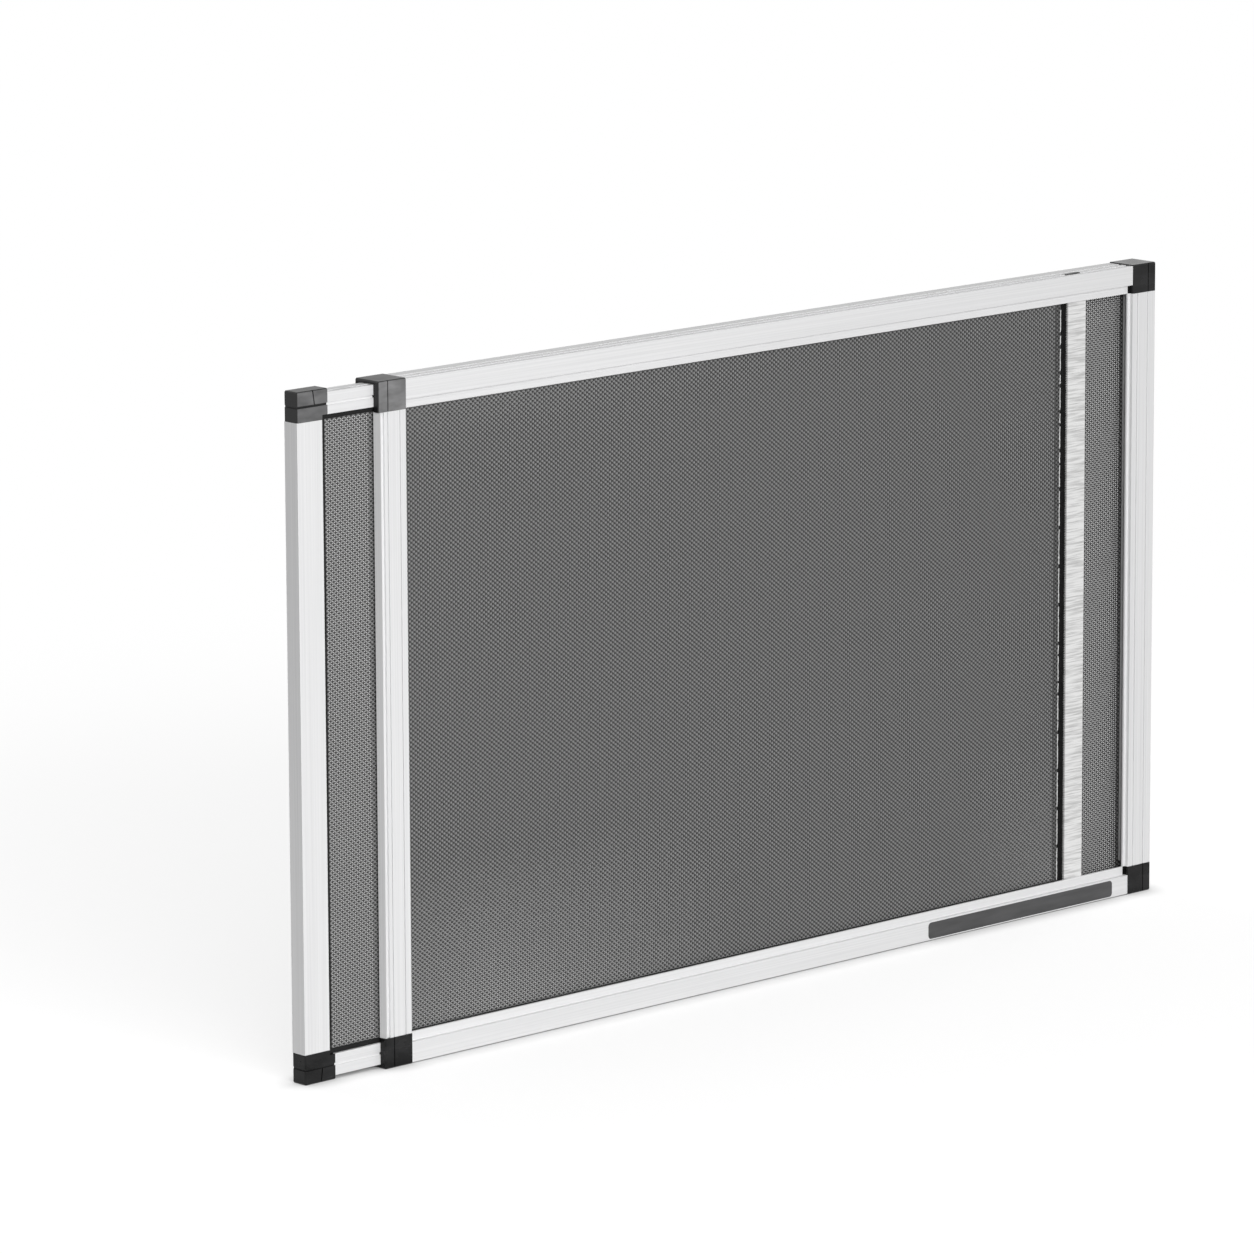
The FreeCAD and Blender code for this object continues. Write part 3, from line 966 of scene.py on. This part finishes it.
@dataclass(frozen=True)
class FrayedEnds:
    """Pale thread ends that stand out between the hem and the pile seal, leaning by some degrees."""

    name: str = "frayed_ends"
    body: Body = Body.INNER
    width: float = 0.7 * MM
    depth: float = 0.3 * MM
    edge: float = 0.06 * MM
    sides: int = 6
    lengths: tuple[float, ...] = (5.4 * MM, 3.2 * MM, 8.5 * MM)
    pitches: tuple[float, ...] = (7.7 * MM, 11.9 * MM, 23.3 * MM)
    leans: tuple[float, ...] = (3.0, -5.0, -1.5)

    def row(self, foot: Vector, reach: float, kind: int) -> bpy.types.Object:
        """Model one thread end and repeat it up the hem.

        Args:
            foot: lower end of the row.
            reach: height of the row.
            kind: number of the thread end's kind.

        Returns:
            The row.
        """
        pitch = self.pitches[kind]
        place = foot + Vector((0.0, 0.0, pitch / 2))
        Bench.clear()
        bpy.ops.mesh.primitive_cylinder_add(
            vertices=self.sides, radius=self.width / 2, depth=self.lengths[kind], location=place,
            rotation=(0.0, math.radians(self.leans[kind]), 0.0),
        )
        piece = Bench.settle(f"frayed_row_{kind}")
        with Bench.editing(piece):
            bpy.ops.transform.resize(value=(1.0, self.depth / self.width, 1.0), center_override=place)
        Bench.soften(piece, self.edge)
        Bench.repeat(piece, int(reach / pitch), Vector((0.0, 0.0, pitch)))
        return piece

    def build(self, foot: Vector, reach: float, skin: bpy.types.Material) -> bpy.types.Object:
        """Join the rows and dress them.

        Args:
            foot: lower end of the rows.
            reach: height of the rows.
            skin: material of the thread ends.

        Returns:
            The thread ends.
        """
        ends = Bench.join([self.row(foot, reach, kind) for kind in range(len(self.lengths))])
        ends.name = self.name
        Bench.finish(ends, self.body, Slot.CLOTH, skin)
        return ends


@dataclass(frozen=True)
class BareSticker:
    """Dark film stuck on the lower rail's face, left bare."""

    name: str = "bare_sticker"
    body: Body = Body.OUTER
    rail: str = "outer_bottom_rail"
    length: float = 156.5 * MM
    height: float = 9.8 * MM
    from_rail_end: float = 13.7 * MM
    centre_height: float = 6.15 * MM
    film: float = 0.12 * MM
    film_edge: float = 0.04 * MM
    corner: float = 2.2 * MM
    corner_segments: int = 5

    def build(self, skin: bpy.types.Material) -> bpy.types.Object:
        """Cut the film, round its corners and lay it on the rail.

        Args:
            skin: material of the film.

        Returns:
            The sticker.
        """
        low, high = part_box(self.rail)
        Bench.clear()
        bpy.ops.mesh.primitive_plane_add(
            size=1.0, rotation=(QUARTER_TURN, 0.0, 0.0),
            location=(high.x - self.from_rail_end - self.length / 2, low.y, self.centre_height),
        )
        piece = Bench.settle(self.name, (self.length, self.height, 1.0))
        with Bench.editing(piece):
            bpy.ops.mesh.bevel(offset=self.corner, segments=self.corner_segments, affect="VERTICES")
            Bench.thicken(Vector((0.0, -self.film, 0.0)))
        Bench.soften(piece, self.film_edge)
        Bench.finish(piece, self.body, Slot.MOULDING, skin)
        return piece


@dataclass(frozen=True)
class SlotInsert:
    """Moulded stop that fills the slot in a rail's edge, with a shallow dimple.

    Its place across is counted from the rail's left end, or from the right end where it is negative.
    """

    rail: str
    body: Body
    across: float
    deep: float
    sink: float
    length: float = 12.9 * MM
    width: float = 2.5 * MM
    thick: float = 0.5 * MM
    rim: float = 0.55 * MM
    edge: float = 0.11 * MM
    dimple: float = 0.2 * MM

    def build(self, skin: bpy.types.Material) -> bpy.types.Object:
        """Dimple a plate, thicken it and set it in the slot.

        Args:
            skin: material of the stop.

        Returns:
            The stop.
        """
        low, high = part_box(self.rail)
        upper = "top" in self.rail
        rail_end = low.x if self.across > 0 else high.x
        level = high.z - self.sink if upper else low.z + self.sink
        Bench.clear()
        bpy.ops.mesh.primitive_plane_add(
            size=1.0, rotation=(0.0 if upper else math.pi, 0.0, 0.0),
            location=(rail_end + self.across, low.y + self.deep, level),
        )
        piece = Bench.settle(f"{self.rail}_stop", (self.length, self.width, 1.0))
        with Bench.editing(piece):
            bpy.ops.mesh.inset(thickness=self.rim, depth=-self.dimple)
        Bench.modify(piece, "SOLIDIFY", thickness=self.thick, offset=-1.0)
        Bench.soften(piece, self.edge)
        Bench.finish(piece, self.body, Slot.MOULDING, skin)
        return piece


@dataclass(frozen=True)
class Finishes:
    """The materials that several pieces of the screen share, or that need no size of their piece."""

    along_rail: bpy.types.Material
    along_stile: bpy.types.Material
    bar: bpy.types.Material
    moulding: bpy.types.Material
    vinyl: bpy.types.Material
    pile: bpy.types.Material
    film: bpy.types.Material

    @classmethod
    def mix(cls) -> "Finishes":
        """Mix each finish once."""
        return cls(
            along_rail=SatinAluminium(Grain.ACROSS).material(),
            along_stile=SatinAluminium(Grain.UPRIGHT).material(),
            bar=BarPaint().material(),
            moulding=BlackMoulding().material(),
            vinyl=RibbedVinyl().material(),
            pile=PileFibre().material(),
            film=StickerFilm().material(),
        )


@dataclass(frozen=True)
class Half:
    """What the two halves of the screen have in common."""

    body: Body

    def dress(self, nodes: tuple[str, ...], slot: Slot, skin: bpy.types.Material) -> None:
        """Show solids of this half with softened edges.

        Args:
            nodes: names of the solids.
            slot: the record's slot of their material.
            skin: the material itself.
        """
        for node in nodes:
            SoftenedSolid(node, self.body, slot).build(skin)


@dataclass(frozen=True)
class OuterFrame(Half):
    """Fixed half: two channel rails, three stiles, four corners, the rear cloth and its spline."""

    body: Body = Body.OUTER
    rails: tuple[str, ...] = ("outer_top_rail", "outer_bottom_rail")
    stiles: tuple[str, ...] = ("outer_end_stile", "guide_stile", "rear_stile")
    corners: tuple[str, ...] = ("outer_corner_top", "outer_corner_bottom", "guide_corner_bottom")
    # This corner gets a painted sheen, a grey front face standing in for a softbox's reflection.
    sheen_painted_corner: str = "guide_corner_top"
    corner_sheen_tone: Tone = (0.27, 0.27, 0.272)
    spline: PressedSpline = PressedSpline("outer_spline", Body.OUTER, 3.0 * MM, open_end=False)
    sticker: BareSticker = BareSticker()
    stop_from_end: float = 46.0 * MM
    stop_depth: float = 7.1 * MM
    stop_sink: float = 0.05 * MM
    stop_width: float = 2.9 * MM
    stop_thick: float = 0.9 * MM
    cloth: WovenCloth = WovenCloth("outer_cloth", Body.OUTER)

    def build(self, finishes: Finishes) -> None:
        """Build and dress every piece of the fixed half.

        Args:
            finishes: the materials of the screen.
        """
        self.dress(self.rails, Slot.ALUMINIUM, finishes.along_rail)
        self.dress(self.stiles, Slot.ALUMINIUM, finishes.along_stile)
        self.dress(self.corners, Slot.MOULDING, finishes.moulding)
        # Painted sheen on the corner's front face.
        sheen_painted = SheenPaintedMoulding(node=self.sheen_painted_corner, light=self.corner_sheen_tone)
        self.dress((self.sheen_painted_corner,), Slot.MOULDING, sheen_painted.material())
        self.spline.build(finishes.vinyl)
        self.sticker.build(finishes.film)
        for rail in self.rails:
            SlotInsert(
                rail, self.body, -self.stop_from_end, self.stop_depth, self.stop_sink,
                width=self.stop_width, thick=self.stop_thick,
            ).build(finishes.moulding)
        self.stretch_cloth()

    def stretch_cloth(self) -> None:
        """Weave the rear cloth in place of its solid."""
        low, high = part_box("outer_mesh")
        cloth = self.cloth.build((low, high))
        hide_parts("outer_mesh")


@dataclass(frozen=True)
class InnerFrame(Half):
    """Sliding half: two rails, an end stile, two corners, the closing bar, its seal and the cloth."""

    body: Body = Body.INNER
    rails: tuple[str, ...] = ("inner_top_rail", "inner_bottom_rail")
    stile: str = "inner_end_stile"
    bar: str = "closing_bar"
    mouldings: tuple[str, ...] = ("inner_corner_bottom", "closing_plug_top", "closing_plug_bottom")
    # This corner gets a painted sheen, a grey front face standing in for a softbox's reflection.
    sheen_painted_corner: str = "inner_corner_top"
    corner_sheen_tone: Tone = (0.175, 0.175, 0.177)
    spline: PressedSpline = PressedSpline("inner_spline", Body.INNER, 2.58 * MM, open_end=True)
    seal: PileSeal = PileSeal()
    stop_from_end: float = 14.5 * MM
    stop_depth: float = 3.3 * MM
    stop_sink: float = 0.57 * MM
    cloth: WovenCloth = WovenCloth("inner_cloth", Body.INNER)
    # The hem's threads take darker tones than the cloth's: painted shade of the doubled cloth.
    hem: WovenCloth = WovenCloth(
        "inner_cloth_hem", Body.INNER, dip=(0.020, 0.020, 0.020), crown=(0.145, 0.145, 0.145),
    )
    hem_width: float = 4.1 * MM
    hem_lift: float = 0.5 * MM
    frayed: FrayedEnds = FrayedEnds()
    fray_gap: float = 0.35 * MM

    def build(self, finishes: Finishes) -> None:
        """Build and dress every piece of the sliding half.

        Args:
            finishes: the materials of the screen.
        """
        self.dress(self.rails, Slot.ALUMINIUM, finishes.along_rail)
        self.dress((self.stile,), Slot.ALUMINIUM, finishes.along_stile)
        self.dress((self.bar,), Slot.BAR, finishes.bar)
        self.dress(self.mouldings, Slot.MOULDING, finishes.moulding)
        # Painted sheen on the corner's front face.
        sheen_painted = SheenPaintedMoulding(node=self.sheen_painted_corner, light=self.corner_sheen_tone)
        self.dress((self.sheen_painted_corner,), Slot.MOULDING, sheen_painted.material())
        self.spline.build(finishes.vinyl)
        self.seal.build(finishes.pile)
        for rail in self.rails:
            stop = SlotInsert(rail, self.body, self.stop_from_end, self.stop_depth, self.stop_sink)
            stop.build(finishes.moulding)
        self.stretch_cloth(finishes)

    def stretch_cloth(self, finishes: Finishes) -> None:
        """Weave the front cloth and its turned hem, and set the frayed thread ends beside the hem.

        Args:
            finishes: the materials of the screen.
        """
        low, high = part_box("inner_mesh")
        seal_low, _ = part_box(self.seal.node)
        cloth = self.cloth.build((low, high))
        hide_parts("inner_mesh")
        lift = Vector((0.0, -self.hem_lift, 0.0))
        hem_low = Vector((seal_low.x - self.hem_width, low.y, low.z)) + lift
        hem_high = Vector((seal_low.x, high.y, high.z)) + lift
        hem = self.hem.build((hem_low, hem_high))
        foot = Vector((seal_low.x - self.fray_gap, hem_low.y, low.z))
        self.frayed.build(foot, high.z - low.z, finishes.bar)


class StageTree(Tree):
    """Node tree of the floor or of the surroundings."""

    def __init__(self, owner: bpy.types.Material | bpy.types.World) -> None:
        """Start with an empty tree.

        Args:
            owner: the material or the world that the tree belongs to.
        """
        owner.use_nodes = True
        super().__init__(owner.node_tree)
        self.tree.nodes.clear()

    def seen_directly(self) -> Socket:
        """A number that tells what is seen from what only lights.

        Returns:
            1 for camera, glossy and transmission rays and 0 for the rest.
        """
        rays = self.add("ShaderNodeLightPath", {}).outputs
        seen = self.number("MAXIMUM", rays["Is Camera Ray"], rays["Is Glossy Ray"])
        return self.number("MAXIMUM", seen, rays["Is Transmission Ray"])

    def far_away(self, fade: Range) -> Socket:
        """A number that goes from 0 by the screen to 1 away from it.

        Args:
            fade: distances from the origin at which it leaves 0 and reaches 1.

        Returns:
            The number.
        """
        near, far = fade
        distance = self.add("ShaderNodeVectorMath", {0: self.place()}, operation="LENGTH")
        node = self.add(
            "ShaderNodeMapRange",
            {"Value": distance.outputs["Value"], "From Min": near, "From Max": far},
            interpolation_type="SMOOTHSTEP",
        )
        return node.outputs["Result"]


@dataclass(frozen=True)
class Softbox:
    """Soft lamp: where it hangs, its width and height, and its power in watts."""

    name: str
    place: Triple
    span: Range
    power: float

    def hang(self) -> None:
        """Hang the lamp and turn it to the middle of the screen."""
        light = bpy.data.lights.new(self.name, "AREA")
        light.shape = "RECTANGLE"
        light.energy = self.power
        light.size, light.size_y = self.span
        holder = bpy.data.objects.new(self.name, light)
        bpy.context.scene.collection.objects.link(holder)
        low, high = SOLIDS_BOX
        aim = (low + high) / 2 - Vector(self.place)
        holder.location = self.place
        holder.rotation_euler = aim.to_track_quat("-Z", "Y").to_euler()
        holder.visible_camera = False


@dataclass(frozen=True)
class PhotographCamera:
    """Camera of the photograph: its place, its angles in degrees, and its lens in millimetres."""

    name: str = "photograph_camera"
    place: Triple = (-2.9401, -3.0275, 1.0502)
    azimuth: float = 43.292
    elevation: float = 11.307
    roll: float = -0.240
    lens: float = 217.92
    sensor: float = 36.0
    clip: Range = (0.1, 100.0)

    def stand(self) -> None:
        """Stand the camera where the photograph was taken from."""
        data = bpy.data.cameras.new(self.name)
        data.lens = self.lens
        data.sensor_width = self.sensor
        data.clip_start, data.clip_end = self.clip
        holder = bpy.data.objects.new(self.name, data)
        bpy.context.scene.collection.objects.link(holder)
        turn = Matrix.Rotation(math.radians(-self.azimuth), 4, "Z")
        tilt = Matrix.Rotation(math.radians(90.0 - self.elevation), 4, "X")
        roll = Matrix.Rotation(math.radians(self.roll), 4, "Z")
        holder.matrix_world = Matrix.Translation(self.place) @ turn @ tilt @ roll
        bpy.context.scene.camera = holder


@dataclass(frozen=True)
class Studio:
    """Pale floor, soft lamps, white surroundings and the camera of the photograph."""

    floor_span: float = 30.0
    floor_tone: Tone = (0.50, 0.50, 0.50)
    floor_lift: float = 0.69
    floor_fade: Range = (0.55, 1.3)
    # Reach of the painted contact shadow on the floor.
    contact: float = 14.0 * MM
    sky: float = 0.26
    softboxes: tuple[Softbox, ...] = (
        Softbox("key_softbox", (-1.3, -2.9, 1.1), (2.4, 1.6), 99.0),
        Softbox("rear_softbox", (0.0, 3.2, 0.8), (1.4, 1.4), 38.0),
        Softbox("end_softbox", (3.0, 0.3, 0.9), (1.4, 1.4), 26.0),
    )
    camera: PhotographCamera = PhotographCamera()

    def build(self) -> None:
        """Set up the whole studio."""
        self.floor()
        self.surroundings()
        for softbox in self.softboxes:
            softbox.hang()
        self.camera.stand()
        bpy.context.scene.view_settings.view_transform = "Standard"

    def floor(self) -> None:
        """Lay the floor; it keeps the lamps' shadow, gets a painted contact shadow where the screen
        stands close over it, and is white where nothing shades it.
        """
        Bench.clear()
        bpy.ops.mesh.primitive_plane_add(size=self.floor_span)
        floor = Bench.settle("floor")
        skin = bpy.data.materials.new("pale_floor")
        tree = StageTree(skin)
        seen = tree.seen_directly()
        matt = tree.add("ShaderNodeBsdfDiffuse", {"Color": (*self.floor_tone, 1.0)})
        # Painted contact shadow: the white glow is darkened by ambient occlusion near the screen.
        nearness = tree.add("ShaderNodeAmbientOcclusion", {"Distance": self.contact})
        glow = tree.add("ShaderNodeEmission", {
            "Color": nearness.outputs["Color"],
            "Strength": tree.number("MULTIPLY", seen, self.floor_lift),
        })
        shaded = tree.add("ShaderNodeAddShader", {0: matt.outputs["BSDF"], 1: glow.outputs["Emission"]})
        plain = tree.add("ShaderNodeEmission", {"Color": WHITE, "Strength": seen})
        mix = tree.add("ShaderNodeMixShader", {
            0: tree.far_away(self.floor_fade), 1: shaded.outputs["Shader"], 2: plain.outputs["Emission"],
        })
        tree.add("ShaderNodeOutputMaterial", {"Surface": mix.outputs["Shader"]})
        floor.data.materials.append(skin)

    def surroundings(self) -> None:
        """Make the world white to the eye and a soft fill light to the surfaces."""
        world = bpy.data.worlds.new("white_surroundings")
        tree = StageTree(world)
        fill = tree.add("ShaderNodeBackground", {"Color": WHITE, "Strength": self.sky})
        white = tree.add("ShaderNodeBackground", {"Color": WHITE, "Strength": 1.0})
        mix = tree.add("ShaderNodeMixShader", {
            0: tree.seen_directly(), 1: fill.outputs["Background"], 2: white.outputs["Background"],
        })
        tree.add("ShaderNodeOutputWorld", {"Surface": mix.outputs["Shader"]})
        bpy.context.scene.world = world


def main() -> None:
    """Build the sub-assemblies in order, then the studio round them."""
    logging.basicConfig(level=logging.INFO, format="%(message)s")
    finishes = Finishes.mix()
    OuterFrame().build(finishes)
    InnerFrame().build(finishes)
    Studio().build()
    Bench.clear()


if __name__ == "__main__":
    main()
